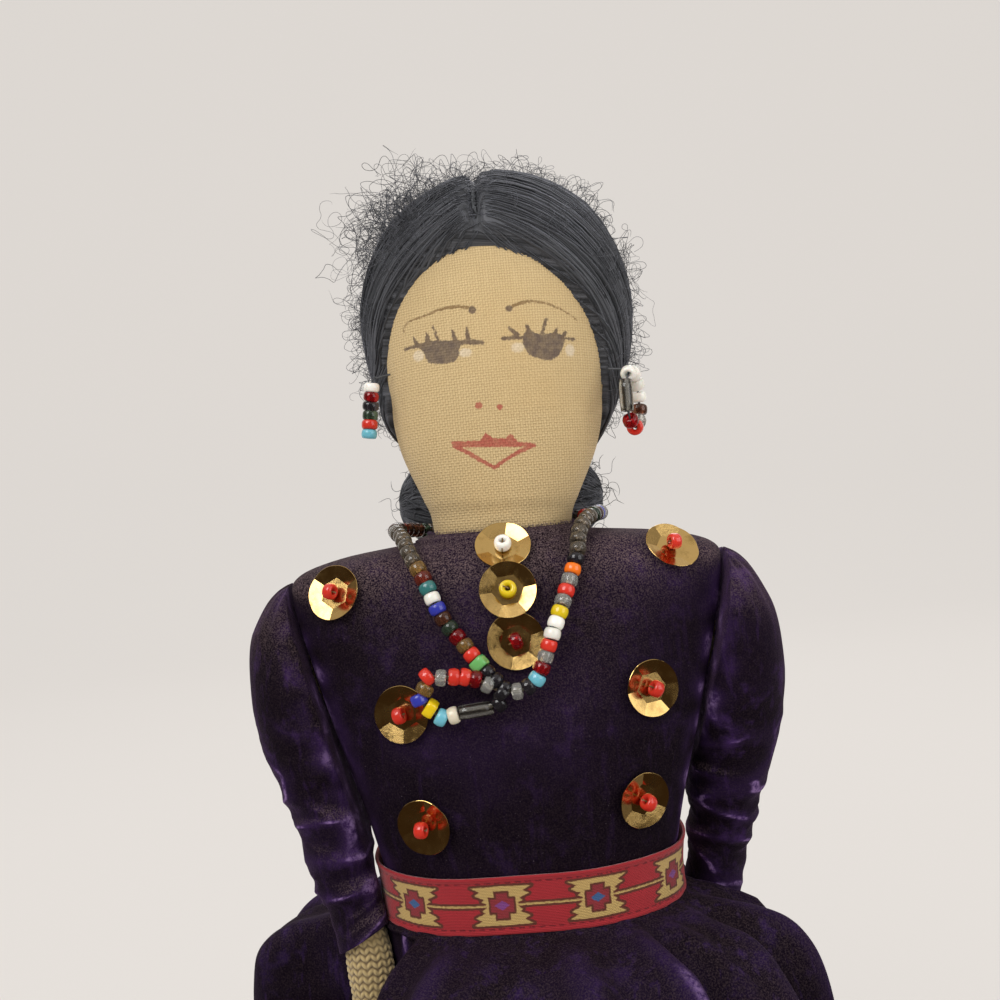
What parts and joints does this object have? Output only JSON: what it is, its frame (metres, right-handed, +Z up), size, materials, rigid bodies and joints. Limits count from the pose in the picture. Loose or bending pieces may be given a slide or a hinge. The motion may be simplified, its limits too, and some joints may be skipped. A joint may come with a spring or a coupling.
{
  "type": "cloth doll",
  "caption": "Stuffed cloth doll in a velvet blouse and long gathered skirt, with a ribbon belt, bead jewellery, metal spangles and a wool hairdo with a bun.",
  "frame": {"origin": "middle of the skirt's hem on the surface that the doll stands on", "axes": "+Z up, the doll faces -Y, and +X is its own left"},
  "size_m": [0.12, 0.1008, 0.26],
  "materials": {
    "muslin": "plain woven cotton",
    "velvet": "deep purple velvet with a short crushed pile",
    "ribbon": "woven red ribbon with stepped crosses",
    "knit": "coarse beige cotton knit",
    "legging": "wrapped off-white cotton",
    "suede": "brown suede",
    "wool": "combed black wool with loose frizz",
    "yarn": "white wool yarn",
    "mixed_beads": "glass seed beads of many colours",
    "white_bead": "opaque white glass",
    "yellow_bead": "opaque yellow glass",
    "red_bead": "opaque red glass",
    "spangle_gold": "thin faceted gold spangle"
  },
  "bodies": {
    "body": {"torso": "muslin", "blouse_body": "velvet", "skirt": "velvet", "belt_ribbon": "ribbon", "necklace": "mixed_beads", "spangle_collar_top": "spangle_gold", "spangle_collar_middle": "spangle_gold", "spangle_collar_low": "spangle_gold", "spangle_right_shoulder": "spangle_gold", "spangle_left_shoulder": "spangle_gold", "spangle_right_chest": "spangle_gold", "spangle_left_chest": "spangle_gold", "spangle_right_waist": "spangle_gold", "spangle_left_waist": "spangle_gold", "spangle_bead_collar_top": "white_bead", "spangle_bead_collar_middle": "yellow_bead", "spangle_bead_collar_low": "red_bead", "spangle_bead_right_shoulder": "red_bead", "spangle_bead_left_shoulder": "red_bead", "spangle_bead_right_chest": "red_bead", "spangle_bead_left_chest": "red_bead", "spangle_bead_right_waist": "red_bead", "spangle_bead_left_waist": "red_bead"},
    "head_and_hair": {"head": "muslin", "hair": "wool", "bun": "wool", "bun_tie": "yarn", "part_stitch": "wool"},
    "left_arm_and_sleeve": {"left_arm": "knit", "left_sleeve": "velvet"},
    "right_arm_and_sleeve": {"right_arm": "knit", "right_sleeve": "velvet"},
    "left_leg_and_foot": {"left_leg": "knit", "left_legging": "legging", "left_moccasin": "suede", "left_moccasin_sole": "suede"},
    "right_leg_and_foot": {"right_leg": "knit", "right_legging": "legging", "right_moccasin": "suede", "right_moccasin_sole": "suede"},
    "left_ear_hoop": {"left_earring": "mixed_beads"},
    "right_ear_drop": {"right_earring": "mixed_beads"},
    "pendant": {"pendant_loop": "mixed_beads"}
  },
  "joints": [
    {"name": "neck_nod", "type": "hinge", "parent": "body", "child": "head_and_hair", "pos_m": [0, 0, 0.192], "axis": [1, 0, 0], "range_deg": [-8, 10], "stiffness_Nm_per_rad": 0.08},
    {"name": "left_arm_swing", "type": "hinge", "parent": "body", "child": "left_arm_and_sleeve", "pos_m": [0.037, 0, 0.168], "axis": [-0.9724, 0, 0.2334], "range_deg": [-12, 85]},
    {"name": "right_arm_swing", "type": "hinge", "parent": "body", "child": "right_arm_and_sleeve", "pos_m": [-0.037, 0, 0.168], "axis": [-0.9724, 0, -0.2334], "range_deg": [-25, 75]},
    {"name": "left_leg_swing", "type": "hinge", "parent": "body", "child": "left_leg_and_foot", "pos_m": [0.0125, 0, 0.0905], "axis": [-1, 0, 0], "range_deg": [-15, 15]},
    {"name": "right_leg_swing", "type": "hinge", "parent": "body", "child": "right_leg_and_foot", "pos_m": [-0.0125, 0, 0.0905], "axis": [-1, 0, 0], "range_deg": [-15, 15]},
    {"name": "left_earring_swing", "type": "hinge", "parent": "head_and_hair", "child": "left_ear_hoop", "pos_m": [0.02592, -0.0085, 0.2194], "axis": [0.999, 0, -0.0436], "range_deg": [-30, 30]},
    {"name": "right_earring_swing", "type": "hinge", "parent": "head_and_hair", "child": "right_ear_drop", "pos_m": [-0.02157, -0.0085, 0.22147], "axis": [0.999, 0, -0.0436], "range_deg": [-30, 30]},
    {"name": "pendant_swing", "type": "hinge", "parent": "body", "child": "pendant", "pos_m": [0.0004, -0.0235, 0.1632], "axis": [0, -1, 0], "range_deg": [0, 100]}
  ]
}
